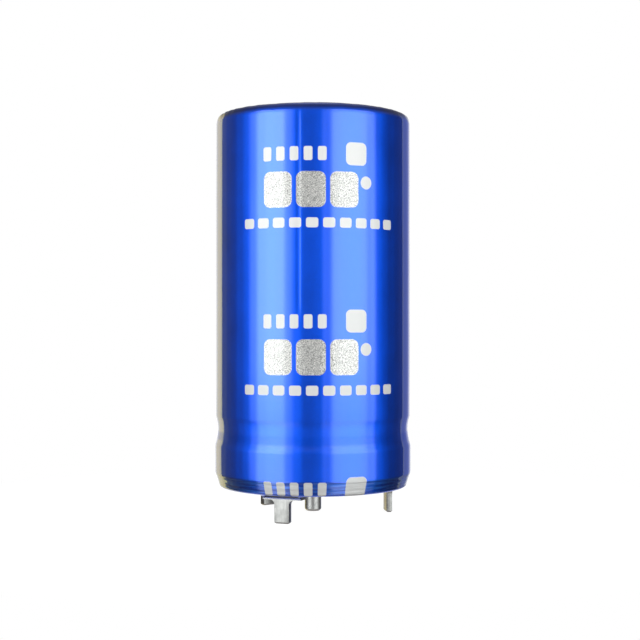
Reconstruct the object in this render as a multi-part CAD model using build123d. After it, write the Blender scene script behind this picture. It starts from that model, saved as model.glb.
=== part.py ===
"""Snap-in supercapacitor: a sealed 35 mm can on three flat legs and a centre pin.

Row frame, in millimetres: +Z up along the can's axis, and the origin in the middle of the seating
plane, where the feet meet the circuit board and the centre pin goes through it. Leg 1 stands on +X.
The can and its three legs are the negative side. The lid, its pin and its collector are the positive
side, kept apart from the can by the gasket and the insulator ring.
"""

import os

from build123d import *

# Can: drawn aluminium, closed on top, with a rolled groove and a tapered bottom edge folded inwards
CAN_RADIUS = 17.5
CAN_WALL = 0.6
CAN_HEIGHT = 66.85
SHOULDER_RADIUS = 0.8
SKIRT_SWELL = 0.14
GROOVE_HALF_WIDTH = 2.6
GROOVE_DEPTH = 1.9
GROOVE_SHOULDER_RADIUS = 2.5
GROOVE_ROOT_RADIUS = 1.2
TAPER_HEIGHT = 2.45
TAPER_INSET = 0.77
TAPER_RADIUS = 2.0
FOLD_CORNER_RADIUS = 0.5
FOLD_WIDTH = 4.6
FOLD_EDGE_RISE = 1.0
FOLD_EDGE_INSET = 0.3
FOLD_EDGE_RADIUS = 0.7

# Safety vent: crossed scores in the closed end
VENT_SCORES = 2
VENT_LENGTH = 20.0
VENT_WIDTH = 0.6
VENT_DEPTH = 0.3

# Sleeve: shrink film over the can, from its top face to its folded edge, stretched across the groove
FILM_THICK = 0.2
FILM_DIP = 0.65
FILM_DIP_RADIUS = 4.8
FILM_TOP_LAP = 3.0
FILM_BOTTOM_LAP = 2.0
FILM_FOOT_GAP = 0.4

# Lid: forged aluminium, with a thick rim, a thin web, a boss for the pin and a spigot for the roll
LID_THICK = 4.65
LID_WEB = 2.0
LID_RIM_WIDTH = 5.2
LID_BOSS_RADIUS = 4.5
LID_SPIGOT_RADIUS = 4.0
LID_CHAMFER = 0.4

# Gasket: rubber ring with one lip under and one lip over the lid's rim
GASKET_WALL = 1.0
GASKET_LIP = 1.3
GASKET_SHOW = 0.6
GASKET_LAP = 2.4
GASKET_BITE = 0.45

# Insulator ring: plastic, a shelf on the groove's bead and a skirt round the roll's lower end
RING_SHELF = 0.8
RING_SHELF_WIDTH = 2.4
RING_SKIRT_WALL = 0.35
RING_SKIRT_HEIGHT = 7.0
RING_CLEARANCE = 0.05
RING_BITE = 0.45

# Electrode roll, with its wound turns showing as rings on both ends, and the tape round it
ROLL_CLEARANCE = 0.2
ROLL_CORE_RADIUS = 2.5
ROLL_TURN_PITCH = 1.5
ROLL_TURN_GAP = 0.4
ROLL_TURN_DEPTH = 0.3
TAPE_THICK = 0.12
TAPE_MARGIN = 9.0

# Collectors: slotted discs on the roll's ends, the upper one with a boss against the closed end
COLLECTOR_THICK = 1.0
COLLECTOR_CLEARANCE = 0.4
COLLECTOR_SLOTS = 6
SLOT_WIDTH = 1.6
SLOT_LENGTH = 7.0
COLLECTOR_BOSS_RADIUS = 5.0
COLLECTOR_BOSS_HEIGHT = 1.2

# Legs: stamped from one sheet, with a wide foot welded under the fold and bent down into a narrow leg
LEG_COUNT = 3
LEG_INSET = 2.94
LEG_SHEET = 1.1
LEG_WIDTH = 2.73
LEG_LENGTH = 4.15
LEG_FLARE_RADIUS = 0.9
LEG_TIP_CHAMFER = 0.25
FOOT_WIDTH = 7.2
FOOT_LENGTH = 3.4
FOOT_CORNER_RADIUS = 0.8
BEND_RADIUS = 0.3

# Centre pin, welded to the lid's boss by its flange
PIN_RADIUS = 1.5
PIN_LENGTH = 3.7
PIN_TIP_CHAMFER = 0.35
PIN_FLANGE_RADIUS = 3.5
PIN_FLANGE_THICK = 0.8

# Levels above the seating plane, which is the underside of the feet
fold_z = LEG_SHEET
top_z = fold_z + CAN_HEIGHT
lid_z = fold_z + CAN_WALL + GASKET_LIP
lid_top_z = lid_z + LID_THICK
gasket_top_z = lid_top_z + GASKET_LIP
groove_z = gasket_top_z + GROOVE_HALF_WIDTH - GASKET_BITE
ring_z = groove_z + GROOVE_HALF_WIDTH - RING_BITE
roll_z = ring_z + RING_SHELF
roll_top_z = top_z - CAN_WALL - COLLECTOR_BOSS_HEIGHT - COLLECTOR_THICK

# Radii about the can's axis
skirt_radius = CAN_RADIUS + SKIRT_SWELL
fold_radius = skirt_radius - TAPER_INSET
mouth_radius = fold_radius - FOLD_WIDTH
lid_radius = skirt_radius - CAN_WALL - GASKET_WALL
ring_radius = CAN_RADIUS - CAN_WALL - RING_CLEARANCE
skirt_inner_radius = ring_radius - RING_SKIRT_WALL
roll_radius = skirt_inner_radius - ROLL_CLEARANCE - TAPE_THICK
shelf_inner_radius = roll_radius - RING_SHELF_WIDTH
collector_radius = shelf_inner_radius - COLLECTOR_CLEARANCE
leg_outer_radius = fold_radius - LEG_INSET + LEG_SHEET / 2


def disc(radius, low, high):
    """Round plate about the Z axis, between two levels."""
    return Pos(0, 0, low) * Cylinder(radius, high - low, align=(Align.CENTER, Align.CENTER, Align.MIN))


def ring(outer, inner, low, high):
    """Flat ring about the Z axis, between two levels."""
    return disc(outer, low, high) - disc(inner, low, high)


def turned(outline):
    """Solid turned about the Z axis from a closed outline drawn as radius and height."""
    return revolve(Plane.XZ * make_face(outline), Axis.Z)


def wall_line(dip, dip_radius, shoulder_radius):
    """Corners and corner radii of the can's side, from its top edge to its taper, for one groove depth."""
    corners = [
        (CAN_RADIUS, top_z),
        (CAN_RADIUS, groove_z + GROOVE_HALF_WIDTH),
        (CAN_RADIUS - dip, groove_z),
        (skirt_radius, groove_z - GROOVE_HALF_WIDTH),
        (skirt_radius, fold_z + TAPER_HEIGHT),
        (fold_radius, fold_z),
    ]
    radii = [SHOULDER_RADIUS, shoulder_radius, dip_radius, shoulder_radius, TAPER_RADIUS, FOLD_CORNER_RADIUS]
    return corners, radii


def can_line():
    """Outer line of the can, from the middle of its closed end to the edge of its fold."""
    corners, radii = wall_line(GROOVE_DEPTH, GROOVE_ROOT_RADIUS, GROOVE_SHOULDER_RADIUS)
    fold = [(mouth_radius, fold_z), (mouth_radius - FOLD_EDGE_INSET, fold_z + FOLD_EDGE_RISE)]
    return FilletPolyline((0, top_z), *corners, *fold, radius=radii + [FOLD_EDGE_RADIUS])


def film_line():
    """Inner line of the sleeve: it lies on the can, but bridges the groove with a shallow dip."""
    corners, radii = wall_line(FILM_DIP, FILM_DIP_RADIUS, FILM_DIP_RADIUS)
    top_lip = (CAN_RADIUS - FILM_TOP_LAP, top_z)
    bottom_lip = (fold_radius - FILM_BOTTOM_LAP, fold_z)
    return FilletPolyline(top_lip, *corners, bottom_lip, radius=radii)


def hollow():
    """Space inside the can, for shaping what is pressed against its wall."""
    edge = can_line() @ 1
    wall = offset(can_line(), CAN_WALL, side=Side.RIGHT, closed=False)
    closing = Polyline(wall @ 1, edge, (0, edge.Y), wall @ 0)
    return turned(wall.edges() + closing.edges())


def can():
    """Aluminium can with its vent scores."""
    shell = turned(offset(can_line(), CAN_WALL, side=Side.RIGHT).edges())
    score = Pos(0, 0, top_z) * Box(VENT_LENGTH, VENT_WIDTH, 2 * VENT_DEPTH)
    for number in range(VENT_SCORES):
        shell -= Rot(0, 0, number * 180 / VENT_SCORES) * score
    return shell


def foot_room(number):
    """Space round one foot that the film's lower lip is trimmed back from."""
    length = FOOT_LENGTH + 2 * FILM_FOOT_GAP
    width = FOOT_WIDTH + 2 * FILM_FOOT_GAP
    middle = leg_outer_radius - FOOT_LENGTH / 2
    return Rot(0, 0, number * 360 / LEG_COUNT) * Pos(middle, 0, 0) * Box(length, width, 2 * fold_z)


def sleeve():
    """Shrink film round the can, trimmed clear of the feet."""
    film = turned(offset(film_line(), FILM_THICK, side=Side.LEFT).edges())
    for number in range(LEG_COUNT):
        film -= foot_room(number)
    return film


def lid():
    """Lid with the recess on its underside, and the spigot up to the lower collector."""
    plate = chamfer(disc(lid_radius, lid_z, lid_top_z).edges(), LID_CHAMFER)
    recess = ring(lid_radius - LID_RIM_WIDTH, LID_BOSS_RADIUS, lid_z, lid_top_z - LID_WEB)
    spigot = disc(LID_SPIGOT_RADIUS, lid_top_z, roll_z - COLLECTOR_THICK)
    return plate - recess + spigot


def lid_gasket():
    """Gasket squeezed between the can's fold, its side and the bead of its groove."""
    lower = ring(skirt_radius, mouth_radius - GASKET_SHOW, fold_z, lid_top_z)
    upper = ring(skirt_radius, lid_radius - GASKET_LAP, lid_top_z, gasket_top_z)
    return ((lower + upper) & hollow()) - lid()


def insulator_ring():
    """Shelf on the bead, under the roll, with a skirt up round the roll's end."""
    shelf = ring(ring_radius, shelf_inner_radius, ring_z, roll_z)
    skirt = ring(ring_radius, skirt_inner_radius, roll_z, roll_z + RING_SKIRT_HEIGHT)
    return (shelf + skirt) & hollow()


def electrode_roll():
    """Wound electrodes and separator, hollow in the middle, with a ring for each few turns on its ends."""
    body = ring(roll_radius, ROLL_CORE_RADIUS, roll_z, roll_top_z)
    inner = ROLL_CORE_RADIUS + ROLL_TURN_PITCH
    while inner + ROLL_TURN_GAP < roll_radius:
        body -= ring(inner + ROLL_TURN_GAP, inner, roll_z, roll_z + ROLL_TURN_DEPTH)
        body -= ring(inner + ROLL_TURN_GAP, inner, roll_top_z - ROLL_TURN_DEPTH, roll_top_z)
        inner += ROLL_TURN_PITCH
    return body


def roll_tape():
    """Tape round the roll, between its ends."""
    return ring(roll_radius + TAPE_THICK, roll_radius, roll_z + TAPE_MARGIN, roll_top_z - TAPE_MARGIN)


def collector(low):
    """Disc with open slots round its rim."""
    plate = disc(collector_radius, low, low + COLLECTOR_THICK)
    slot = Box(2 * SLOT_LENGTH, SLOT_WIDTH, 4 * COLLECTOR_THICK)
    return plate - Pos(0, 0, low) * PolarLocations(collector_radius, COLLECTOR_SLOTS) * slot


def negative_collector():
    """Upper collector, with the boss that is welded to the can's closed end."""
    boss_z = roll_top_z + COLLECTOR_THICK
    return collector(roll_top_z) + disc(COLLECTOR_BOSS_RADIUS, boss_z, boss_z + COLLECTOR_BOSS_HEIGHT)


def positive_pin():
    """Round pin with the flange that is welded to the lid's boss."""
    flange_z = lid_z - PIN_FLANGE_THICK
    shaft = disc(PIN_RADIUS, -PIN_LENGTH, flange_z)
    shaft = chamfer(shaft.edges().sort_by(Axis.Z)[0], PIN_TIP_CHAMFER)
    return shaft + disc(PIN_FLANGE_RADIUS, flange_z, lid_z)


def leg_section():
    """Foot and leg seen from the side, as one bent strip."""
    inner_face = leg_outer_radius - LEG_SHEET
    outer_line = FilletPolyline(
        (leg_outer_radius - FOOT_LENGTH, fold_z),
        (leg_outer_radius, fold_z),
        (leg_outer_radius, -LEG_LENGTH),
        radius=BEND_RADIUS + LEG_SHEET,
    )
    inner_line = FilletPolyline(
        (inner_face, -LEG_LENGTH),
        (inner_face, 0),
        (leg_outer_radius - FOOT_LENGTH, 0),
        radius=BEND_RADIUS,
    )
    ends = Line(outer_line @ 1, inner_line @ 0), Line(inner_line @ 1, outer_line @ 0)
    return make_face(outer_line.edges() + inner_line.edges() + ends[0].edges() + ends[1].edges())


def leg_front():
    """Foot and leg seen from outside: the wide foot runs into the narrow leg by a flare on each side."""
    side = FilletPolyline(
        (FOOT_WIDTH / 2, fold_z),
        (FOOT_WIDTH / 2, 0),
        (LEG_WIDTH / 2, 0),
        (LEG_WIDTH / 2, -LEG_LENGTH),
        radius=[0, LEG_FLARE_RADIUS],
    )
    other = mirror(side, Plane.YZ)
    ends = Line(side @ 0, other @ 0), Line(side @ 1, other @ 1)
    return make_face(side.edges() + other.edges() + ends[0].edges() + ends[1].edges())


def negative_leg(number):
    """One leg with its foot, turned to its place on the circle."""
    strip = extrude(Plane.XZ * leg_section(), FOOT_WIDTH / 2, both=True)
    outline = extrude(Plane.YZ * leg_front(), leg_outer_radius)
    leg = strip & outline
    foot_corners = leg.edges().filter_by(Axis.Z).group_by(Axis.X)[0]
    leg = fillet(foot_corners, FOOT_CORNER_RADIUS)
    leg = chamfer(leg.faces().sort_by(Axis.Z)[0].edges(), LEG_TIP_CHAMFER)
    return Rot(0, 0, number * 360 / LEG_COUNT) * leg


def pieces():
    """Every piece by its node name."""
    named = {
        "can": can(),
        "sleeve": sleeve(),
        "lid": lid(),
        "lid_gasket": lid_gasket(),
        "insulator_ring": insulator_ring(),
        "electrode_roll": electrode_roll(),
        "roll_tape": roll_tape(),
        "positive_collector": collector(roll_z - COLLECTOR_THICK),
        "negative_collector": negative_collector(),
        "positive_pin": positive_pin(),
    }
    for number in range(LEG_COUNT):
        named[f"negative_leg_{number + 1}"] = negative_leg(number)
    return named


os.makedirs("parts", exist_ok=True)
for name, piece in pieces().items():
    export_step(piece, f"parts/{name}.step")
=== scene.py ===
"""Looks of a snap-in supercapacitor: a blue metallised film sleeve on a beaded aluminium can.

The file is laid out as an add-on with one operator for each group of pieces, and is run as a
script. Lengths in the settings are real sizes; the model is in metres with the board's seating
plane at height 0 and the can's axis on Z.
"""
import math

import bmesh
import bpy
from bpy.props import FloatProperty, FloatVectorProperty, IntProperty, PointerProperty
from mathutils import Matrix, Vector, noise


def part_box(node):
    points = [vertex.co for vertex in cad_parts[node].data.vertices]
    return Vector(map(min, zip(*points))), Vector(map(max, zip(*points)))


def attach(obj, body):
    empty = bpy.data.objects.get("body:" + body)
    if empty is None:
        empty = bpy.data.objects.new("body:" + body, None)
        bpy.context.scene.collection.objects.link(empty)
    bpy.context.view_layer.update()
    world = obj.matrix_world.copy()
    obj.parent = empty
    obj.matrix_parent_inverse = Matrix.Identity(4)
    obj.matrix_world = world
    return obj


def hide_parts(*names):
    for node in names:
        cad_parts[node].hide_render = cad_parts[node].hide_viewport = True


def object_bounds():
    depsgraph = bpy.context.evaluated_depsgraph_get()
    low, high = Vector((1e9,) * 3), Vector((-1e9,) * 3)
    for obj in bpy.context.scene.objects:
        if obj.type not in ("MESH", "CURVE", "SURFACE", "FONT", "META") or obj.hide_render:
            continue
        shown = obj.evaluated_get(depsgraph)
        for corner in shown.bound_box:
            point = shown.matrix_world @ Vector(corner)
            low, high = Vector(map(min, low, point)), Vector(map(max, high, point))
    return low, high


bl_info = {
    "name": "Supercapacitor Looks",
    "version": (1, 0, 0),
    "blender": (4, 5, 0),
    "location": "View3D > Sidebar > Capacitor",
    "description": "Dresses a snap-in supercapacitor with its film sleeve, metals and studio",
    "category": "Object",
}

MM = 0.001
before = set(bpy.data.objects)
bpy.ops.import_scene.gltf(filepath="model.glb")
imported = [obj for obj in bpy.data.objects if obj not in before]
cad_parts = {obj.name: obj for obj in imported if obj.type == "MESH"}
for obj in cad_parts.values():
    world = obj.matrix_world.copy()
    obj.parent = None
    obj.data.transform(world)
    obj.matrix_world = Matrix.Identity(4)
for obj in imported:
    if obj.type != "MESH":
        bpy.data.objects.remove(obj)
cad_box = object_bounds()
sleeve_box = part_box("sleeve")
leg_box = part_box("negative_leg_1")


# ---------------------------------------------------------------- settings


def length(name, description, default):
    """A length setting in metres."""
    return FloatProperty(
        name=name, description=description, default=default, unit="LENGTH", precision=5
    )


def colour(name, description, default):
    """A linear colour setting without alpha."""
    return FloatVectorProperty(
        name=name, description=description, default=default, size=3, subtype="COLOR", min=0, max=1
    )


def direction(name, description, degrees):
    """A direction about the can's axis."""
    return FloatProperty(
        name=name, description=description, default=math.radians(degrees), subtype="ANGLE"
    )


def factor(name, description, default, top=1.0):
    """A plain number setting."""
    return FloatProperty(name=name, description=description, default=default, min=0, max=top)


class FilmSettings(bpy.types.PropertyGroup):
    """Sizes and colours of the shrunk film sleeve."""

    thickness: length("Thickness", "Wall of the film", 0.2 * MM)
    wall_radius: length("Wall radius", "Outside of the film on the can's wall", 17.7 * MM)
    skirt_radius: length("Skirt radius", "Outside of the film below the groove", sleeve_box[1].x)
    top: length("Top", "Height of the film's top lip", sleeve_box[1].z)
    bottom: length("Bottom", "Height of the film's lowest face", sleeve_box[0].z)
    shoulder: length("Shoulder", "Radius of the rounded shoulder", 0.85 * MM)
    lean: length("Lean", "How far the film leans in under the shoulder", 0.3 * MM)
    lean_height: length("Lean height", "Height over which the film leans in", 1.4 * MM)
    lean_bend: length("Lean bend", "Bend where the film starts to lean in", 4.0 * MM)
    top_lip: length("Top lip", "Radius of the opening on the closed end", 14.5 * MM)
    bottom_lip: length("Bottom lip", "Radius of the opening around the feet", 14.87 * MM)
    groove_height: length("Groove height", "Height of the middle of the groove", 11.1 * MM)
    groove_half: length("Groove half width", "Half the height of the bridged groove", 2.6 * MM)
    dip: length("Dip", "How far the film sinks into the groove", 0.7 * MM)
    dip_radius: length("Dip radius", "Bend of the film in the middle of the groove", 7.0 * MM)
    dip_shoulder: length("Dip shoulder", "Bend of the film at the groove's two edges", 2.4 * MM)
    taper_height: length("Taper height", "Height where the skirt starts to close", 3.52 * MM)
    taper_radius: length("Taper radius", "Bend at the top of the taper", 2.2 * MM)
    fold_radius: length("Fold radius", "Radius where the taper meets the fold", 17.02 * MM)
    fold_bend: length("Fold bend", "Bend at the foot of the taper", 0.7 * MM)
    bulge: length("Bulge", "How far the lip hangs down beside each foot", 0.5 * MM)
    segments: IntProperty(name="Segments", description="Faces round the sleeve", default=360)
    blue: colour("Blue", "Face-on colour of the metallised film", (0.004, 0.097, 0.84))
    ink: colour("Ink", "Colour of the plain print", (0.62, 0.58, 0.57))
    # Paler blue of the painted shade on the taper.
    paler_taper_shade: colour("Gather", "Paler colour of the folds on the taper", (0.02, 0.12, 0.56))
    flake: colour("Flake", "Colour of the bright flakes in the large fields", (0.77, 0.715, 0.69))
    print_pitch: length("Print pitch", "Height from one print row to the next", 28.53 * MM)
    print_top: length("Print top", "Height of the first print row's upper edge", 61.4 * MM)
    print_turn: direction("Print turn", "Where the print faces", -93.8)
    crease_turn: direction("Crease turn", "Where the flat tube's crease runs", -106)
    crease_width: length("Crease width", "Half width of the crease", 0.33 * MM)
    crease_depth: length("Crease depth", "Depth of the crease", 0.05 * MM)
    crease_foot: length("Crease foot", "Height where the crease has faded out", 31.0 * MM)
    facet_depth: length("Facet depth", "Depth of the long flats up the wall", 0.04 * MM)
    crinkle_depth: length("Crinkle depth", "Depth of the pleats round the shoulder", 0.1 * MM)
    wrinkle_depth: length("Wrinkle depth", "Depth of the wrinkles on the taper", 0.08 * MM)
    wrinkle_step: length("Wrinkle step", "Spacing of the rings that carry the wrinkles", 0.15 * MM)


class MetalSettings(bpy.types.PropertyGroup):
    """Colours of the bare metals and the small parts."""

    tin: colour("Tin", "Tinned legs", (0.35, 0.325, 0.315))
    pin: colour("Pin", "Tinned pin", (0.52, 0.49, 0.48))
    can: colour("Can", "Drawn aluminium of the can", (0.72, 0.72, 0.73))
    lid: colour("Lid", "Turned aluminium of the lid", (0.66, 0.66, 0.68))
    collector: colour("Collector", "Sheet aluminium of the collectors", (0.6, 0.6, 0.61))
    rubber: colour("Rubber", "Gasket rubber", (0.018, 0.018, 0.019))
    ring: colour("Ring", "Moulded insulator ring", (0.55, 0.54, 0.5))
    electrode: colour("Electrode", "Carbon coated foil roll", (0.02, 0.02, 0.021))
    tape: colour("Tape", "Film tape round the roll", (0.5, 0.33, 0.1))
    edge: length("Edge", "Rounding of the legs' edges", 0.12 * MM)


class StudioSettings(bpy.types.PropertyGroup):
    """Camera, lamps and floor."""

    camera_distance: length("Camera distance", "From the can's axis", 236.1 * MM)
    camera_height: length("Camera height", "Above the seating plane", 29.68 * MM)
    camera_turn: direction("Camera turn", "Direction of the camera seen from the can", -97.96)
    aim_right: length("Aim right", "How far the view's middle lies right of the axis", 1.275 * MM)
    aim_up: length("Aim up", "How far the view's middle lies above the camera", 1.42 * MM)
    lens: FloatProperty(
        name="Lens", description="Focal length in millimetres", default=72.57, unit="CAMERA"
    )
    lamp_distance: length("Lamp distance", "From the can's axis to each softbox", 0.2)
    lamp_top: length("Lamp top", "Height of the softboxes' upper edge", 0.16)
    lamp_bottom: length("Lamp bottom", "Height of the softboxes' lower edge", -0.2)
    left_lamp: factor("Left lamp", "Radiance of the left softbox", 4.75, 20)
    right_lamp: factor("Right lamp", "Radiance of the right softbox", 3.45, 20)
    top_lamp: factor("Top lamp", "Radiance of the overhead softbox", 1.0, 20)
    daylight: colour("Daylight", "Cool tint of the softboxes", (0.9, 1.0, 1.0))
    fill: factor("Fill", "Strength of the world on matt surfaces", 0.35, 5)
    drape: colour("Drape", "Dark cloth that the metal sees in front", (0.1, 0.1, 0.11))
    floor: colour("Floor", "Pale floor", (0.22, 0.22, 0.22))
    floor_radius: length("Floor radius", "Radius of the round floor", 85 * MM)


class CapacitorSettings(bpy.types.PropertyGroup):
    """Every setting of the capacitor."""

    film: PointerProperty(type=FilmSettings)
    metal: PointerProperty(type=MetalSettings)
    studio: PointerProperty(type=StudioSettings)


# ---------------------------------------------------------------- modelling helpers


def start_clean():
    """Leaves edit mode and deselects everything, so that operators act on the new piece alone."""
    if bpy.context.object and bpy.context.object.mode != "OBJECT":
        bpy.ops.object.mode_set(mode="OBJECT")
    bpy.ops.object.select_all(action="DESELECT")


def pick(piece):
    """Makes a piece the only selected one and the active one."""
    start_clean()
    piece.select_set(True)
    bpy.context.view_layer.objects.active = piece


def copy_of_node(node, name):
    """A merged copy of a CAD node's mesh as a new object with its own data."""
    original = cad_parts[node]
    piece = bpy.data.objects.new(name, original.data.copy())
    piece.data.name = name
    piece.data.materials.clear()
    bpy.context.scene.collection.objects.link(piece)
    pick(piece)
    bpy.ops.object.mode_set(mode="EDIT")
    bpy.ops.mesh.select_all(action="SELECT")
    bpy.ops.mesh.remove_doubles(threshold=0.002 * MM)
    bpy.ops.mesh.dissolve_limited(angle_limit=math.radians(0.5))
    bpy.ops.object.mode_set(mode="OBJECT")
    return piece


def add_modifier(piece, kind, **values):
    """Adds a modifier with its values and applies it."""
    modifier = piece.modifiers.new(kind.title(), kind)
    for key, value in values.items():
        setattr(modifier, key, value)
    bpy.context.view_layer.objects.active = piece
    bpy.ops.object.modifier_apply(modifier=modifier.name)


def smooth_by_angle(piece, degrees):
    """Smooth shading that keeps the sharp edges."""
    pick(piece)
    bpy.ops.object.shade_smooth_by_angle(angle=math.radians(degrees))


def finish_piece(piece, material, *nodes):
    """Gives a new piece its material and its place in the frame."""
    piece.data.materials.clear()
    piece.data.materials.append(material)
    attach(piece, "root")
    if nodes:
        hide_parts(*nodes)


def dress_node(node, material):
    """Puts a material on a CAD node that stays."""
    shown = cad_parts[node]
    if not shown.material_slots:
        shown.data.materials.append(material)
    for slot in shown.material_slots:
        slot.material = material


# ---------------------------------------------------------------- node helpers


class Nodes:
    """Adds shader nodes to a tree in short calls."""

    def __init__(self, tree):
        self.tree = tree
        self.column = 0

    def add(self, kind, **values):
        node = self.tree.nodes.new(kind)
        node.location = (self.column * 190 - 2000, -120 * (self.column % 5))
        self.column += 1
        for key, value in values.items():
            setattr(node, key, value)
        return node

    def join(self, source, target):
        self.tree.links.new(source, target)

    def feed(self, socket, value):
        """Links an output or sets a plain value."""
        if isinstance(value, bpy.types.NodeSocket):
            self.join(value, socket)
        else:
            socket.default_value = value

    def math(self, operation, first, second=0.0, third=0.0):
        node = self.add("ShaderNodeMath", operation=operation)
        for socket, value in zip(node.inputs, (first, second, third)):
            self.feed(socket, value)
        return node.outputs[0]

    def ramp(self, value, low, high, to_low=0.0, to_high=1.0, smooth=True):
        """Maps a value from one range to another, with a soft start and end."""
        node = self.add("ShaderNodeMapRange")
        node.interpolation_type = "SMOOTHSTEP" if smooth else "LINEAR"
        names = ("Value", "From Min", "From Max", "To Min", "To Max")
        for name, item in zip(names, (value, low, high, to_low, to_high)):
            self.feed(node.inputs[name], item)
        return node.outputs["Result"]

    def mix_colour(self, amount, first, second):
        node = self.add("ShaderNodeMix", data_type="RGBA")
        self.feed(node.inputs["Factor"], amount)
        for socket, value in ((node.inputs[6], first), (node.inputs[7], second)):
            if not isinstance(value, bpy.types.NodeSocket):
                value = (*tuple(value)[:3], 1.0)
            self.feed(socket, value)
        return node.outputs[2]

    def mix_value(self, amount, first, second):
        node = self.add("ShaderNodeMix", data_type="FLOAT")
        self.feed(node.inputs["Factor"], amount)
        self.feed(node.inputs[2], first)
        self.feed(node.inputs[3], second)
        return node.outputs[0]

    def parts(self, vector):
        """The X, Y and Z of a vector."""
        node = self.add("ShaderNodeSeparateXYZ")
        self.join(vector, node.inputs[0])
        return node.outputs

    def polar(self, place):
        """Distance from the Z axis, direction about it and height of a place."""
        x, y, height = self.parts(place)
        squares = [self.math("POWER", side, 2.0) for side in (x, y)]
        return self.math("SQRT", self.math("ADD", *squares)), self.math("ARCTAN2", y, x), height

    def noise(self, vector, scale, detail=2.0, roughness=0.5, stretch=None):
        """Noise on the piece, stretched along an axis where a stretch is given."""
        if stretch:
            mapping = self.add("ShaderNodeMapping")
            mapping.inputs["Scale"].default_value = stretch
            self.join(vector, mapping.inputs["Vector"])
            vector = mapping.outputs["Vector"]
        node = self.add("ShaderNodeTexNoise")
        self.join(vector, node.inputs["Vector"])
        for name, value in (("Scale", scale), ("Detail", detail), ("Roughness", roughness)):
            node.inputs[name].default_value = value
        return node.outputs["Fac"]

    def bump(self, height, distance, strength=1.0, normal=None):
        node = self.add("ShaderNodeBump")
        node.inputs["Strength"].default_value = strength
        node.inputs["Distance"].default_value = distance
        self.join(height, node.inputs["Height"])
        if normal:
            self.join(normal, node.inputs["Normal"])
        return node.outputs["Normal"]

    def group(self, tree, **values):
        """Places a node group and feeds its named inputs."""
        node = self.add("ShaderNodeGroup")
        node.node_tree = tree
        for name, value in values.items():
            self.feed(node.inputs[name.replace("_", " ")], value)
        return node


def new_material(name):
    """A material with its Principled shader, a node helper and the piece's own coordinates."""
    material = bpy.data.materials.new(name)
    material.use_nodes = True
    nodes = Nodes(material.node_tree)
    shader = material.node_tree.nodes["Principled BSDF"]
    place = nodes.add("ShaderNodeTexCoord").outputs["Object"]
    return material, nodes, shader, place


def new_group(name, inputs, outputs):
    """A shader node group with named float or vector sockets."""
    tree = bpy.data.node_groups.new(name, "ShaderNodeTree")
    for label, kind in inputs:
        tree.interface.new_socket(label, in_out="INPUT", socket_type=kind)
    for label, kind in outputs:
        tree.interface.new_socket(label, in_out="OUTPUT", socket_type=kind)
    nodes = Nodes(tree)
    entry = nodes.add("NodeGroupInput").outputs
    leave = nodes.add("NodeGroupOutput").inputs
    return tree, nodes, entry, leave


FLOAT = "NodeSocketFloat"
VECTOR = "NodeSocketVector"
PATCH_SIZES = ("Middle Across", "Middle Up", "Half Width", "Half Height", "Corner")


def patch_group():
    """Mask of a filled rectangle with rounded corners, in the print's own flat coordinates."""
    inputs = [(name, FLOAT) for name in ("Across", "Up", *PATCH_SIZES, "Soft")]
    tree, nodes, entry, leave = new_group("Printed Patch", inputs, [("Mask", FLOAT)])
    beyond = []
    for place, half in (("Across", "Half Width"), ("Up", "Half Height")):
        away = nodes.math("ABSOLUTE", nodes.math("SUBTRACT", entry[place], entry[f"Middle {place}"]))
        beyond.append(nodes.math("ADD", nodes.math("SUBTRACT", away, entry[half]), entry["Corner"]))
    squares = [nodes.math("POWER", nodes.math("MAXIMUM", side, 0.0), 2.0) for side in beyond]
    outside = nodes.math("SQRT", nodes.math("ADD", *squares))
    inside = nodes.math("MINIMUM", nodes.math("MAXIMUM", *beyond), 0.0)
    edge = nodes.math("SUBTRACT", nodes.math("ADD", outside, inside), entry["Corner"])
    low = nodes.math("MULTIPLY", entry["Soft"], -1.0)
    nodes.join(nodes.ramp(edge, low, entry["Soft"], 1.0, 0.0), leave["Mask"])
    return tree


def unrolled_group():
    """Distance round the wall from a given direction, height and distance out, in millimetres."""
    tree, nodes, entry, leave = new_group(
        "Unrolled Wall",
        [("Place", VECTOR), ("Direction", FLOAT), ("Radius", FLOAT), ("Repeat", FLOAT)],
        [("Across", FLOAT), ("Up", FLOAT), ("Out", FLOAT)],
    )
    out, around, height = nodes.polar(entry["Place"])
    away = nodes.math("SUBTRACT", around, entry["Direction"])
    half = nodes.math("MULTIPLY", entry["Repeat"], 0.5)
    near = nodes.math("WRAP", away, half, nodes.math("MULTIPLY", half, -1.0))
    nodes.join(nodes.math("MULTIPLY", near, entry["Radius"]), leave["Across"])
    nodes.join(nodes.math("MULTIPLY", height, 1000.0), leave["Up"])
    nodes.join(nodes.math("MULTIPLY", out, 1000.0), leave["Out"])
    return tree


def grain_group():
    """Fine uneven grain: cloudy patches with small specks in them."""
    tree, nodes, entry, leave = new_group(
        "Fine Grain",
        [("Place", VECTOR), ("Cloud Scale", FLOAT), ("Speck Scale", FLOAT), ("Speck Share", FLOAT)],
        [("Grain", FLOAT)],
    )
    layers = []
    for scale, detail in (("Cloud Scale", 3.0), ("Speck Scale", 1.0)):
        noise = nodes.add("ShaderNodeTexNoise")
        noise.inputs["Detail"].default_value = detail
        nodes.join(entry["Place"], noise.inputs["Vector"])
        nodes.join(entry[scale], noise.inputs["Scale"])
        layers.append(noise.outputs["Fac"])
    nodes.join(nodes.mix_value(entry["Speck Share"], *layers), leave["Grain"])
    return tree


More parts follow.
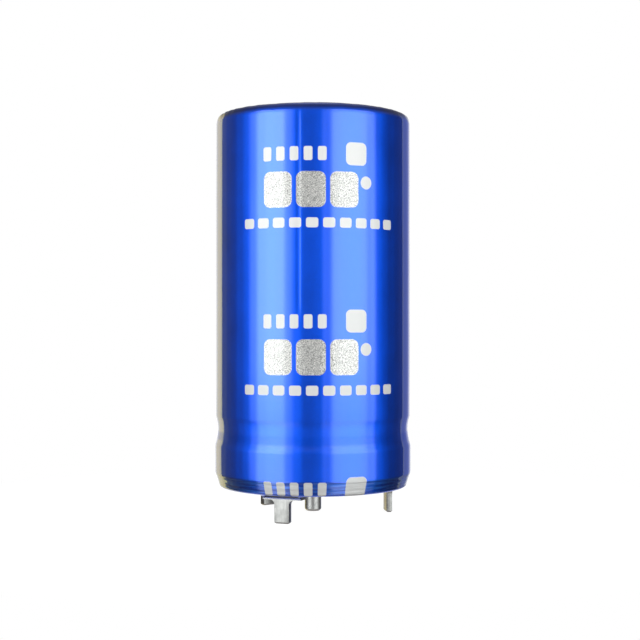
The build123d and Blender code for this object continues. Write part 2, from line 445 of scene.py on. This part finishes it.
def turning_group():
    """Concentric marks as a lathe or a deep draw leaves them, by distance from the axis."""
    tree, nodes, entry, leave = new_group(
        "Turning Marks",
        [("Place", VECTOR), ("Marks", FLOAT), ("Wander", FLOAT)],
        [("Height", FLOAT)],
    )
    out, around, height = nodes.polar(entry["Place"])
    line = nodes.add("ShaderNodeCombineXYZ")
    for axis, value, scale in (
        ("X", out, entry["Marks"]),
        ("Y", nodes.math("SINE", around), entry["Wander"]),
        ("Z", height, entry["Marks"]),
    ):
        nodes.join(nodes.math("MULTIPLY", value, scale), line.inputs[axis])
    nodes.join(nodes.noise(line.outputs[0], 1.0, 3.0, 0.6), leave["Height"])
    return tree


def brushed_group():
    """Fine lines along Z with a slow change of tone, as on drawn or rolled strip."""
    tree, nodes, entry, leave = new_group(
        "Brushed Lines", [("Place", VECTOR), ("Lines", FLOAT)], [("Height", FLOAT), ("Tone", FLOAT)]
    )
    spread = nodes.add("ShaderNodeVectorMath", operation="SCALE")
    nodes.join(entry["Place"], spread.inputs[0])
    nodes.join(entry["Lines"], spread.inputs["Scale"])
    lines = nodes.noise(spread.outputs[0], 1.0, 3.0, 0.6, stretch=(1.0, 1.0, 0.04))
    nodes.join(lines, leave["Height"])
    nodes.join(nodes.noise(entry["Place"], 900.0, 3.0, 0.6), leave["Tone"])
    return tree


GROUPS = {}


def shared_groups():
    """Builds the shared effects once."""
    if not GROUPS:
        GROUPS.update(
            patch=patch_group(),
            unrolled=unrolled_group(),
            grain=grain_group(),
            turning=turning_group(),
            brushed=brushed_group(),
        )
    return GROUPS


# ---------------------------------------------------------------- materials


def scaled(tint, share):
    """The same colour darker or lighter."""
    return [min(1.0, part * share) for part in tint]


def grain_and_tone(nodes, place, cloud, speck, share):
    """The shared grain at the given scales, and its middle range spread over 0 to 1."""
    group = shared_groups()["grain"]
    node = nodes.group(group, Place=place, Cloud_Scale=cloud, Speck_Scale=speck, Speck_Share=share)
    grain = node.outputs["Grain"]
    return grain, nodes.ramp(grain, 0.3, 0.7, 0.0, 1.0, smooth=False)


def follow_tone(nodes, shader, tone, tints, roughs):
    """Gives the shader a colour and a roughness that change together."""
    nodes.join(nodes.mix_colour(tone, *tints), shader.inputs["Base Color"])
    nodes.join(nodes.ramp(tone, 0.0, 1.0, *roughs, smooth=False), shader.inputs["Roughness"])


def printed_mask(nodes, across, up, film):
    """Masks of the plain print and the flecked fields, in rows that repeat up the sleeve.

    Places and sizes are in millimetres: across from the print's middle, and down from a row's top.
    """
    pitch = film.print_pitch * 1000
    down = nodes.math("SUBTRACT", film.print_top * 1000, up)
    row = nodes.math("WRAP", down, pitch, 0.0)

    def patch(x, y, *sizes):
        node = nodes.group(shared_groups()["patch"], Across=x, Up=y, Soft=0.05)
        for name, size in zip(PATCH_SIZES, sizes):
            node.inputs[name].default_value = size
        return node.outputs["Mask"]

    def line_of(count, start, step, middle, half_x, half_y, corner):
        """Equal patches side by side, with none beyond the line's two ends."""
        along = nodes.math("WRAP", nodes.math("SUBTRACT", across, start), step, 0.0)
        shapes = patch(along, row, step / 2, middle, half_x, half_y, corner)
        reach = count * step / 2
        ends = patch(across, row, start + reach, middle, reach, 2.0, 0.0)
        return nodes.math("MULTIPLY", shapes, ends)

    def together(shapes):
        result = shapes[0]
        for shape in shapes[1:]:
            result = nodes.math("MAXIMUM", result, shape)
        return result

    square = patch(across, row, 6.4, 2.05, 1.95, 1.95, 0.9)
    dot = patch(across, row, 8.3, 6.9, 1.1, 1.1, 1.1)
    bars = line_of(5, -10.6, 2.42, 2.1, 0.75, 1.2, 0.35)
    dashes = line_of(10, -14.6, 2.925, 13.85, 1.05, 0.85, 0.4)
    fields = [patch(across, row, middle, 8.2, 2.55, 3.05, 1.2) for middle in (-7.5, -1.65, 4.2)]
    return together([square, dot, bars, dashes]), together(fields)


def film_material(film):
    """Blue metallised film under a clear gloss, with silver print, and wrinkled ends painted darker as
    shade.

    Heights and distances from the axis are in millimetres.
    """
    material, nodes, shader, place = new_material("blue_film")
    radius, top, bottom = film.wall_radius * 1000, film.top * 1000, film.bottom * 1000
    taper, groove = film.taper_height * 1000, film.groove_height * 1000
    group = shared_groups()["unrolled"]
    unrolled = nodes.group(
        group, Place=place, Direction=film.print_turn, Radius=radius, Repeat=math.pi
    )
    up = unrolled.outputs["Up"]
    plain, field = printed_mask(nodes, unrolled.outputs["Across"], up, film)
    ink = nodes.math("MAXIMUM", plain, field)
    flakes = nodes.ramp(nodes.noise(place, 7000.0, 2.0, 0.8), 0.42, 0.58)
    silver = nodes.mix_colour(flakes, scaled(film.flake, 0.3), film.flake)
    tone = grain_and_tone(nodes, place, 160.0, 2500.0, 0.3)[1]
    blue = nodes.mix_colour(tone, scaled(film.blue, 0.93), scaled(film.blue, 1.07))
    # The taper is painted darker as shade, streaked between a darker blue and a paler blue.
    shrunk = nodes.math(
        "MULTIPLY",
        nodes.ramp(up, taper - 0.3, taper + 0.25, 1.0, 0.0),
        nodes.ramp(up, bottom + 0.1, bottom + 0.4),
    )
    gathers = nodes.noise(place, 1.0, 3.0, 0.65, stretch=(110.0, 110.0, 2400.0))
    darker_taper_shade = nodes.mix_colour(nodes.ramp(gathers, 0.4, 0.62), scaled(film.blue, 0.42), film.paler_taper_shade)
    blue = nodes.mix_colour(shrunk, blue, darker_taper_shade)
    # The shoulder and the turned-in lip are painted darker as shade: black is mixed into the blue,
    # darkest towards the outside.
    crown = nodes.ramp(up, top - 1.6, top - 0.7)
    depth = nodes.ramp(unrolled.outputs["Out"], radius - 2.2, radius - 1.0, 0.75, 0.22)
    blue = nodes.mix_colour(crown, blue, nodes.mix_colour(depth, (0.0, 0.0, 0.0), film.blue))
    colours = nodes.mix_colour(plain, nodes.mix_colour(field, blue, silver), film.ink)
    nodes.join(colours, shader.inputs["Base Color"])
    metallic = nodes.mix_value(plain, nodes.mix_value(field, 1.0, 0.85), 0.1)
    nodes.join(metallic, shader.inputs["Metallic"])
    rough = nodes.ramp(tone, 0.0, 1.0, 0.41, 0.45, smooth=False)
    nodes.join(nodes.mix_value(ink, rough, 0.5), shader.inputs["Roughness"])
    stretched = nodes.math(
        "MULTIPLY",
        nodes.ramp(up, groove - 1.7, groove - 1.2),
        nodes.ramp(up, groove - 0.3, groove + 0.2, 1.0, 0.0),
    )
    gloss = nodes.ramp(stretched, 0.0, 1.0, 1.0, 0.66, smooth=False)
    nodes.join(nodes.mix_value(ink, gloss, 0.35), shader.inputs["Coat Weight"])
    shader.inputs["Coat Roughness"].default_value = 0.06
    shader.inputs["Coat IOR"].default_value = 1.58
    nodes.join(film_relief(nodes, film, place, up, shrunk), shader.inputs["Normal"])
    return material


def film_relief(nodes, film, place, up, shrunk):
    """Faint rings up the wall, a softer groove, crinkles at the top and folds on the taper."""
    top, groove = film.top * 1000, film.groove_height * 1000
    rings = nodes.noise(place, 1.0, 2.0, 0.5, stretch=(60.0, 60.0, 900.0))
    normal = nodes.bump(rings, 0.012 * MM, 0.6)
    from_groove = nodes.math("ABSOLUTE", nodes.math("SUBTRACT", up, groove))
    bridged = nodes.ramp(from_groove, film.groove_half * 1000, 0.0)
    normal = nodes.bump(bridged, film.dip * 0.6, 1.0, normal)
    crown = nodes.ramp(up, top - 1.2, top - 0.6)
    crinkles = nodes.noise(place, 1.0, 3.0, 0.7, stretch=(900.0, 900.0, 500.0))
    normal = nodes.bump(nodes.math("MULTIPLY", crinkles, crown), 0.05 * MM, 0.8, normal)
    folds = nodes.noise(place, 1.0, 3.0, 0.6, stretch=(160.0, 160.0, 1700.0))
    return nodes.bump(nodes.math("MULTIPLY", folds, shrunk), 0.12 * MM, 0.9, normal)


def metal_material(name, base, rough, marks, depth):
    """Turned or drawn aluminium: concentric marks, cloudy dulling and a fine grain."""
    material, nodes, shader, place = new_material(name)
    turning = nodes.group(shared_groups()["turning"], Place=place, Marks=marks, Wander=0.6)
    grain, tone = grain_and_tone(nodes, place, 220.0, 4000.0, 0.35)
    follow_tone(nodes, shader, tone, (scaled(base, 0.8), base), (rough + 0.06, rough - 0.04))
    shader.inputs["Metallic"].default_value = 1.0
    normal = nodes.bump(grain, 0.004 * MM, 0.5)
    nodes.join(nodes.bump(turning.outputs["Height"], depth, 0.8, normal), shader.inputs["Normal"])
    return material


def tin_material(name, base, rough):
    """Tinned steel: fine lines along the length and a slightly frosted plating."""
    material, nodes, shader, place = new_material(name)
    brushed = nodes.group(shared_groups()["brushed"], Place=place, Lines=9000.0)
    lines = brushed.outputs["Height"]
    grain = grain_and_tone(nodes, place, 700.0, 9000.0, 0.4)[0]
    tone = nodes.math("MULTIPLY", brushed.outputs["Tone"], lines)
    tone = nodes.ramp(tone, 0.12, 0.4, 0.0, 1.0, smooth=False)
    tint = nodes.mix_colour(tone, scaled(base, 0.66), scaled(base, 1.12))
    nodes.join(tint, shader.inputs["Base Color"])
    shader.inputs["Metallic"].default_value = 1.0
    frost = nodes.ramp(grain, 0.3, 0.7, rough - 0.06, rough + 0.06)
    nodes.join(frost, shader.inputs["Roughness"])
    normal = nodes.bump(grain, 0.006 * MM, 0.5)
    nodes.join(nodes.bump(lines, 0.008 * MM, 0.7, normal), shader.inputs["Normal"])
    return material


def soft_material(name, base, rough, speck, depth, change):
    """Rubber, moulded plastic, tape or coated foil: a plain body with its own fine grain."""
    material, nodes, shader, place = new_material(name)
    grain, tone = grain_and_tone(nodes, place, speck * 0.1, speck, 0.5)
    tints = (scaled(base, 1 - change), scaled(base, 1 + change))
    follow_tone(nodes, shader, tone, tints, (rough - 0.06, rough + 0.06))
    nodes.join(nodes.bump(grain, depth, 0.8), shader.inputs["Normal"])
    return material


# ---------------------------------------------------------------- film sleeve


ARC_STEP = math.radians(7)  # between two stations on a bend
LONGEST_RUN = 1.5 * MM  # between two stations on the wall
PLEATS = 15  # to a radian round the shoulder
PLEAT_LENGTH = 1.5 * MM
WRINKLE_LENGTH = 4 * MM
WRINKLE_HEIGHT = 0.42 * MM


def rounded_line(corners):
    """Stations along a line in the plane of radius and height, with an arc at each inner corner."""
    line = [Vector(corners[0][:2])]
    for before, corner, after in zip(corners, corners[1:], corners[2:]):
        here, bend = Vector(corner[:2]), corner[2]
        back = (Vector(before[:2]) - here).normalized()
        on = (Vector(after[:2]) - here).normalized()
        half = back.angle(on) / 2
        middle = here + (back + on).normalized() * (bend / math.sin(half))
        first = here + back * (bend / math.tan(half)) - middle
        last = here + on * (bend / math.tan(half)) - middle
        sweep = math.pi - 2 * half
        steps = max(3, math.ceil(sweep / ARC_STEP))
        for step in range(steps + 1):
            share = step / steps
            from_first = math.sin((1 - share) * sweep) / math.sin(sweep)
            from_last = math.sin(share * sweep) / math.sin(sweep)
            line.append(middle + first * from_first + last * from_last)
    line.append(Vector(corners[-1][:2]))
    return line


def divided(line, longest, fine, fine_below):
    """The same line with long runs cut into shorter ones, and into fine ones low down."""
    result = [line[0]]
    for start, end in zip(line, line[1:]):
        run = (end - start).length
        if run < 0.0001 * MM:
            continue
        parts = max(1, math.ceil(run / (fine if start.y < fine_below else longest)))
        for part in range(1, parts + 1):
            result.append(start.lerp(end, part / parts))
    return result


def film_stations(film):
    """Outline of the film's outside from the top lip to the lip under the fold."""
    wall, skirt = film.wall_radius, film.skirt_radius
    groove, half = film.groove_height, film.groove_half
    corners = [
        (film.top_lip, film.top),
        (wall - film.lean, film.top, film.shoulder),
        (wall, film.top - film.lean_height, film.lean_bend),
        (wall, groove + half, film.dip_shoulder),
        (wall - film.dip, groove, film.dip_radius),
        (skirt, groove - half, film.dip_shoulder),
        (skirt, film.taper_height, film.taper_radius),
        (film.fold_radius, film.bottom, film.fold_bend),
        (film.bottom_lip, film.bottom),
    ]
    return divided(rounded_line(corners), LONGEST_RUN, film.wrinkle_step, film.taper_height)


def part_way(value, start, end):
    """How far a value has come from start to end, held between 0 and 1."""
    return min(1.0, max(0.0, (value - start) / (end - start)))


def polar(place):
    """Distance from the can's axis and direction about it."""
    return math.hypot(place.x, place.y), math.atan2(place.y, place.x)


def push_in(vertex, depth):
    """Moves a vertex towards the can's axis."""
    radius = polar(vertex.co)[0]
    vertex.co.x *= 1 - depth / radius
    vertex.co.y *= 1 - depth / radius


def hang_beside_feet(vertex, film):
    """Pushes the lip down at both ends of each foot and lets it wave a little elsewhere."""
    radius, turn = polar(vertex.co)
    fold_top = film.bottom + 0.6 * MM
    if vertex.co.z > fold_top or radius > film.fold_radius:
        return
    share = part_way(radius, film.fold_radius, film.bottom_lip)
    third = 2 * math.pi / 3
    away = ((turn + third / 2) % third - third / 2) * leg_box[1].x
    foot_end, hang_width = leg_box[1].y - 0.2 * MM, 0.62 * MM
    near = (abs(away) - foot_end) / hang_width
    wave = 0.06 * MM * math.sin(7 * turn + 1.0) * math.sin(4 * turn)
    vertex.co.z -= share * share * (film.bulge * math.exp(-near * near) + max(0.0, wave))


def sink_wall(vertex, film):
    """Sinks the wall along its crease and in long flats, as a shrunk flat tube keeps them."""
    height = vertex.co.z
    radius, turn = polar(vertex.co)
    drift = 0.5 * math.sin(height / (19 * MM))
    flats = 0.5 * math.sin(23 * turn + 1.3 + drift)
    flats += 0.3 * math.sin(41 * turn + 4.1 - drift) + 0.2 * math.sin(67 * turn + 0.4)
    away = (turn - film.crease_turn + math.pi) % (2 * math.pi) - math.pi
    crease = max(0.0, 1 - abs(away) * radius / film.crease_width)
    crease *= part_way(height, film.crease_foot, film.crease_foot + 2 * MM)
    shoulder_foot = film.top - film.shoulder
    wall = part_way(radius, film.fold_radius, film.fold_radius + 0.4 * MM)
    wall *= part_way(height, shoulder_foot, shoulder_foot - 1.2 * MM)
    push_in(vertex, wall * (film.facet_depth * (0.5 + 0.5 * flats) + film.crease_depth * crease))


def crinkle_shoulder(vertex, film):
    """Pleats the shoulder and the turned-in lip, where the tube had film to spare."""
    place = vertex.co
    share = part_way(place.z, film.top - 1.2 * MM, film.top - 0.6 * MM)
    if share == 0:
        return
    radius = polar(place)[0]
    across = max(0.0, radius - film.wall_radius + film.shoulder)
    up = max(0.0, place.z - film.top + film.shoulder)
    along = (radius + place.z) / PLEAT_LENGTH
    pleats = Vector((place.x / radius * PLEATS, place.y / radius * PLEATS, along))
    depth = share * film.crinkle_depth * (0.5 + 0.5 * noise.noise(pleats))
    depth /= max(math.hypot(across, up), 0.01 * MM)
    push_in(vertex, across * depth)
    vertex.co.z -= up * depth


def wrinkle_taper(vertex, film):
    """Wrinkles the taper with folds that run round it, as the film gathers over the can's edge."""
    place = vertex.co
    below = part_way(place.z, film.taper_height, film.taper_height - 0.5 * MM)
    above = part_way(place.z, film.bottom + 0.15 * MM, film.bottom + 0.55 * MM)
    folds = Vector(
        (place.x / WRINKLE_LENGTH, place.y / WRINKLE_LENGTH, place.z / WRINKLE_HEIGHT)
    )
    push_in(vertex, below * above * film.wrinkle_depth * (0.5 + 0.5 * noise.noise(folds)))


class CAPACITOR_OT_sleeve(bpy.types.Operator):
    """Model the heat-shrunk film sleeve that covers the can from the closed end to the fold"""

    bl_idname = "capacitor.sleeve"
    bl_label = "Film Sleeve"

    def execute(self, context):
        film = context.scene.capacitor.film
        stations = film_stations(film)
        start_clean()
        bpy.ops.mesh.primitive_circle_add(
            vertices=film.segments, radius=stations[0].x, location=(0, 0, stations[0].y)
        )
        sleeve = context.object
        sleeve.name = sleeve.data.name = "film_sleeve"
        bpy.ops.object.transform_apply(location=True, rotation=True, scale=True)
        bpy.ops.object.mode_set(mode="EDIT")
        bpy.ops.mesh.select_all(action="SELECT")
        for before, after in zip(stations, stations[1:]):
            drop = (0.0, 0.0, after.y - before.y)
            bpy.ops.mesh.extrude_edges_move(TRANSFORM_OT_translate={"value": drop})
            grow = after.x / before.x
            bpy.ops.transform.resize(value=(grow, grow, 1.0), center_override=(0, 0, after.y))
        mesh = bmesh.from_edit_mesh(sleeve.data)
        for vertex in mesh.verts:
            hang_beside_feet(vertex, film)
            sink_wall(vertex, film)
            crinkle_shoulder(vertex, film)
            wrinkle_taper(vertex, film)
        bmesh.update_edit_mesh(sleeve.data)
        bpy.ops.mesh.select_all(action="SELECT")
        bpy.ops.mesh.normals_make_consistent(inside=False)
        bpy.ops.object.mode_set(mode="OBJECT")
        self.shrink_marks(sleeve)
        add_modifier(sleeve, "SOLIDIFY", thickness=film.thickness, offset=-1.0, use_even_offset=True)
        smooth_by_angle(sleeve, 40)
        finish_piece(sleeve, film_material(film), "sleeve")
        return {"FINISHED"}

    def shrink_marks(self, sleeve):
        """Sinks the film by a few hundredths of a millimetre in slow waves, as shrinking leaves it."""
        cloud = bpy.data.textures.new("shrink_marks", "CLOUDS")
        cloud.noise_scale = 14 * MM
        cloud.noise_depth = 1
        add_modifier(
            sleeve,
            "DISPLACE",
            texture=cloud,
            strength=0.05 * MM,
            mid_level=1.0,
            texture_coords="LOCAL",
            direction="NORMAL",
        )


# ---------------------------------------------------------------- legs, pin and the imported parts


class CAPACITOR_OT_terminals(bpy.types.Operator):
    """Model the three bent legs and the round pin with softened edges and tinned metal"""

    bl_idname = "capacitor.terminals"
    bl_label = "Legs And Pin"

    def execute(self, context):
        metal = context.scene.capacitor.metal
        strip = tin_material("tinned_metal", metal.tin, 0.38)
        wire = tin_material("tinned_pin", metal.pin, 0.46)
        for node, name, tin in (
            ("negative_leg_1", "tinned_leg_1", strip),
            ("negative_leg_2", "tinned_leg_2", strip),
            ("negative_leg_3", "tinned_leg_3", strip),
            ("positive_pin", "tinned_pin", wire),
        ):
            piece = copy_of_node(node, name)
            add_modifier(
                piece,
                "BEVEL",
                width=metal.edge,
                segments=3,
                limit_method="ANGLE",
                angle_limit=math.radians(28),
                use_clamp_overlap=True,
            )
            smooth_by_angle(piece, 35)
            finish_piece(piece, tin, node)
        return {"FINISHED"}


class CAPACITOR_OT_metalwork(bpy.types.Operator):
    """Finish the can, the lid and the collectors as drawn, turned and sheet aluminium"""

    bl_idname = "capacitor.metalwork"
    bl_label = "Can, Lid And Collectors"

    def execute(self, context):
        metal = context.scene.capacitor.metal
        dress_node("can", metal_material("can_aluminium", metal.can, 0.34, 2600.0, 0.02 * MM))
        dress_node("lid", metal_material("lid_aluminium", metal.lid, 0.4, 3600.0, 0.016 * MM))
        sheet = metal_material("collector_aluminium", metal.collector, 0.42, 1500.0, 0.006 * MM)
        dress_node("positive_collector", sheet)
        dress_node("negative_collector", sheet)
        return {"FINISHED"}


class CAPACITOR_OT_soft_parts(bpy.types.Operator):
    """Finish the gasket, the insulator ring, the electrode roll and its tape"""

    bl_idname = "capacitor.soft_parts"
    bl_label = "Gasket, Ring, Roll And Tape"

    def execute(self, context):
        metal = context.scene.capacitor.metal
        for node, name, base, rough, speck, depth, change in (
            ("lid_gasket", "gasket_rubber", metal.rubber, 0.62, 5000.0, 0.02 * MM, 0.3),
            ("insulator_ring", "ring_plastic", metal.ring, 0.42, 2500.0, 0.006 * MM, 0.08),
            ("electrode_roll", "electrode", metal.electrode, 0.75, 7000.0, 0.02 * MM, 0.4),
            ("roll_tape", "tape_film", metal.tape, 0.3, 1200.0, 0.008 * MM, 0.12),
        ):
            dress_node(node, soft_material(name, base, rough, speck, depth, change))
        return {"FINISHED"}


# ---------------------------------------------------------------- studio


def heading(turn, radius, height):
    """A place at a direction, a distance from the axis and a height."""
    return Vector((radius * math.cos(turn), radius * math.sin(turn), height))


def seen_directly(nodes):
    """1 for the camera's rays, reflections and rays through clear pieces, 0 for soft light."""
    path = nodes.add("ShaderNodeLightPath").outputs
    seen = nodes.math("MAXIMUM", path["Is Camera Ray"], path["Is Glossy Ray"])
    return nodes.math("MAXIMUM", seen, path["Is Transmission Ray"])


def area_lamp(name, place, shape, size):
    """A new area lamp that faces down and that the camera doesn't see."""
    bpy.ops.object.light_add(type="AREA", location=place)
    lamp = bpy.context.object
    lamp.name = name
    lamp.data.shape = shape
    lamp.data.size = size
    lamp.visible_camera = False
    return lamp


class CAPACITOR_OT_studio(bpy.types.Operator):
    """Set up the camera, the softboxes, the dark drape, the world and the pale floor"""

    bl_idname = "capacitor.studio"
    bl_label = "Studio"

    def execute(self, context):
        studio = context.scene.capacitor.studio
        self.camera(context, studio)
        self.softbox(studio, "left_softbox", studio.left_lamp, -50, 32, (0.51, 0.67), 0.66)
        self.softbox(studio, "right_softbox", studio.right_lamp, 45, 37, (0.33, 0.65), 0.68)
        self.top_lamp(studio)
        self.surround(studio)
        self.floor(studio)
        self.world(context, studio)
        context.scene.view_settings.view_transform = "Standard"
        return {"FINISHED"}

    def camera(self, context, studio):
        place = heading(studio.camera_turn, studio.camera_distance, studio.camera_height)
        right = heading(studio.camera_turn + math.pi / 2, studio.aim_right, 0)
        aim = right + Vector((0, 0, studio.camera_height + studio.aim_up))
        bpy.ops.object.camera_add(location=place)
        camera = context.object
        camera.name = "camera"
        camera.rotation_euler = (aim - place).to_track_quat("-Z", "Y").to_euler()
        camera.data.sensor_width = 36
        camera.data.lens = studio.lens
        camera.data.clip_start = 0.005
        camera.data.clip_end = 20
        context.scene.camera = camera

    def softbox(self, studio, name, radiance, aside, half_turn, bright, dim):
        """A wide soft lamp close to the can that fades towards its edges.

        Its direction aside from the camera and half the angle it fills are in degrees. It shines
        fully between the two shares of its width in bright, over one band of its height, and
        with the share dim above and below that band.
        """
        distance = studio.lamp_distance
        middle = (studio.lamp_top + studio.lamp_bottom) / 2
        place = heading(studio.camera_turn + math.radians(aside), distance, middle)
        width = 2 * distance * math.tan(math.radians(half_turn))
        lamp = area_lamp(name, place, "RECTANGLE", width)
        lamp.rotation_euler = (Vector((0, 0, middle)) - place).to_track_quat("-Z", "Y").to_euler()
        lamp.data.size_y = studio.lamp_top - studio.lamp_bottom
        lamp.data.energy = radiance * math.pi * lamp.data.size * lamp.data.size_y
        lamp.data.color = studio.daylight
        lamp.data.use_nodes = True
        nodes = Nodes(lamp.data.node_tree)
        face = nodes.add("ShaderNodeNewGeometry").outputs["Parametric"]
        across, up = nodes.parts(face)[:2]
        strength = nodes.ramp(across, 0.0, bright[0])
        for low, high, to_low, to_high, way in (
            (bright[1], 1.0, 1.0, 0.0, across),
            (0.55, 0.63, dim, 1.0, up),
            (0.835, 0.87, 1.0, dim, up),
            (0.97, 1.0, 1.0, 0.0, up),
            (0.0, 0.15, 0.0, 1.0, up),
        ):
            fade = nodes.ramp(way, low, high, to_low, to_high)
            strength = nodes.math("MULTIPLY", strength, fade)
        nodes.join(strength, lamp.data.node_tree.nodes["Emission"].inputs["Strength"])

    def top_lamp(self, studio):
        """A small overhead lamp for matt surfaces and the shadow under the part."""
        size, height = 0.3, 0.62
        lamp = area_lamp("top_softbox", Vector((0, 0, height)), "DISK", size)
        lamp.data.energy = studio.top_lamp * math.pi * math.pi * (size / 2) ** 2

    def surround(self, studio):
        """Cloths and cards all round, which only reflections see: dark in front, pale behind."""
        start_clean()
        radius = 0.9
        bpy.ops.mesh.primitive_uv_sphere_add(segments=96, ring_count=48, radius=radius)
        dome = bpy.context.object
        dome.name = dome.data.name = "surround"
        material, nodes, shader, place = new_material("surround")
        material.node_tree.nodes.remove(shader)
        x, y, height = nodes.parts(place)
        turn = nodes.math("SUBTRACT", nodes.math("ARCTAN2", y, x), studio.camera_turn)
        away = nodes.math("WRAP", turn, math.pi, -math.pi)
        cards = nodes.add("ShaderNodeValToRGB")
        nodes.join(nodes.ramp(away, -math.pi, math.pi, smooth=False), cards.inputs["Fac"])
        white, grey = (1.0, 1.0, 1.0), (0.27, 0.31, 0.53)
        dark = studio.drape
        # Degrees from the camera's side, more than 0 to its right, and the colour seen there.
        bands = (
            (-163, white),
            (-154, (1.2, 1.09, 0.55)),
            (-144, (1.5, 1.25, 0.6)),
            (-136, (1.8, 1.66, 0.5)),
            (-134, dark),
            (20, dark),
            (80, scaled(dark, 0.35)),
            (129.5, scaled(dark, 0.35)),
            (132, (0.6, 0.66, 0.5)),
            (137, grey),
            (150, grey),
            (164, white),
        )
        stops = cards.color_ramp.elements
        while len(stops) < len(bands):
            stops.new(0.5)
        for stop, (degrees, tint) in zip(stops, bands):
            stop.position = (degrees + 180) / 360
            stop.color = (*tint, 1.0)
        height = nodes.math("DIVIDE", height, radius)
        tint = cards.outputs["Color"]
        # Grey above the cards, a paler ceiling over that, and a pale ground.
        for start, end, card in (
            (0.3, 0.5, (0.25, 0.25, 0.26)),
            (0.6, 0.96, (0.8, 0.8, 0.8)),
            (-0.6, -0.72, (0.6, 0.6, 0.6)),
        ):
            tint = nodes.mix_colour(nodes.ramp(height, start, end), tint, card)
        glow = nodes.add("ShaderNodeEmission")
        nodes.join(tint, glow.inputs["Color"])
        nodes.join(glow.outputs[0], material.node_tree.nodes["Material Output"].inputs["Surface"])
        dome.data.materials.append(material)
        for ray in ("camera", "diffuse", "transmission", "volume_scatter", "shadow"):
            setattr(dome, f"visible_{ray}", False)

    def floor(self, studio):
        """A round pale floor at the leg tips that fades into the white around it."""
        start_clean()
        radius, height = studio.floor_radius, cad_box[0].z - 0.01 * MM
        bpy.ops.mesh.primitive_circle_add(
            vertices=96, radius=radius, fill_type="NGON", location=(0, 0, height)
        )
        floor = bpy.context.object
        floor.name = floor.data.name = "pale_floor"
        material, nodes, shader, place = new_material("pale_floor")
        shader.inputs["Base Color"].default_value = (*studio.floor, 1.0)
        shader.inputs["Roughness"].default_value = 0.9
        shader.inputs["Specular IOR Level"].default_value = 0.0
        seen = seen_directly(nodes)
        white = nodes.add("ShaderNodeEmission")
        nodes.join(nodes.math("MULTIPLY", seen, 0.96), white.inputs["Strength"])
        both = nodes.add("ShaderNodeAddShader")
        nodes.join(shader.outputs[0], both.inputs[0])
        nodes.join(white.outputs[0], both.inputs[1])
        rim = nodes.add("ShaderNodeEmission")
        distance = nodes.add("ShaderNodeVectorMath", operation="LENGTH")
        nodes.join(place, distance.inputs[0])
        away = nodes.ramp(distance.outputs["Value"], radius * 0.55, radius * 0.97)
        share = nodes.math("MULTIPLY", away, seen)
        faded = self.mixed(nodes, share, both.outputs[0], rim.outputs[0])
        behind = nodes.add("ShaderNodeNewGeometry").outputs["Backfacing"]
        clear = nodes.add("ShaderNodeBsdfTransparent")
        sided = self.mixed(nodes, behind, faded, clear.outputs[0])
        nodes.join(sided, material.node_tree.nodes["Material Output"].inputs["Surface"])
        floor.data.materials.append(material)
        floor.visible_glossy = False

    def mixed(self, nodes, share, first, second):
        """One shader where the share is 0 and the other where it is 1."""
        node = nodes.add("ShaderNodeMixShader")
        for socket, source in zip(node.inputs, (share, first, second)):
            nodes.join(source, socket)
        return node.outputs[0]

    def world(self, context, studio):
        """White where the camera or a reflection sees it, and a soft fill on matt surfaces."""
        world = bpy.data.worlds.new("white_world")
        context.scene.world = world
        world.use_nodes = True
        nodes = Nodes(world.node_tree)
        seen = seen_directly(nodes)
        background = world.node_tree.nodes["Background"]
        background.inputs["Color"].default_value = (1.0, 1.0, 1.0, 1.0)
        nodes.join(nodes.mix_value(seen, studio.fill, 1.0), background.inputs["Strength"])
        world.cycles.sampling_method = "NONE"


# ---------------------------------------------------------------- panel and registration


class CAPACITOR_PT_looks(bpy.types.Panel):
    """Lists the capacitor's pieces and settings."""

    bl_label = "Capacitor"
    bl_idname = "CAPACITOR_PT_looks"
    bl_space_type = "VIEW_3D"
    bl_region_type = "UI"
    bl_category = "Capacitor"

    def draw(self, context):
        for operator in OPERATORS:
            self.layout.operator(operator.bl_idname)
        settings = context.scene.capacitor
        for group in (settings.film, settings.metal, settings.studio):
            box = self.layout.box()
            for name in group.__annotations__:
                box.prop(group, name)


OPERATORS = (
    CAPACITOR_OT_sleeve,
    CAPACITOR_OT_terminals,
    CAPACITOR_OT_metalwork,
    CAPACITOR_OT_soft_parts,
    CAPACITOR_OT_studio,
)
SETTINGS = (FilmSettings, MetalSettings, StudioSettings, CapacitorSettings)
CLASSES = (*SETTINGS, *OPERATORS, CAPACITOR_PT_looks)


def register():
    for item in CLASSES:
        bpy.utils.register_class(item)
    bpy.types.Scene.capacitor = PointerProperty(type=CapacitorSettings)


def unregister():
    del bpy.types.Scene.capacitor
    for item in reversed(CLASSES):
        bpy.utils.unregister_class(item)


def main():
    register()
    bpy.ops.capacitor.sleeve()
    bpy.ops.capacitor.terminals()
    bpy.ops.capacitor.metalwork()
    bpy.ops.capacitor.soft_parts()
    bpy.ops.capacitor.studio()


if __name__ == "__main__":
    main()
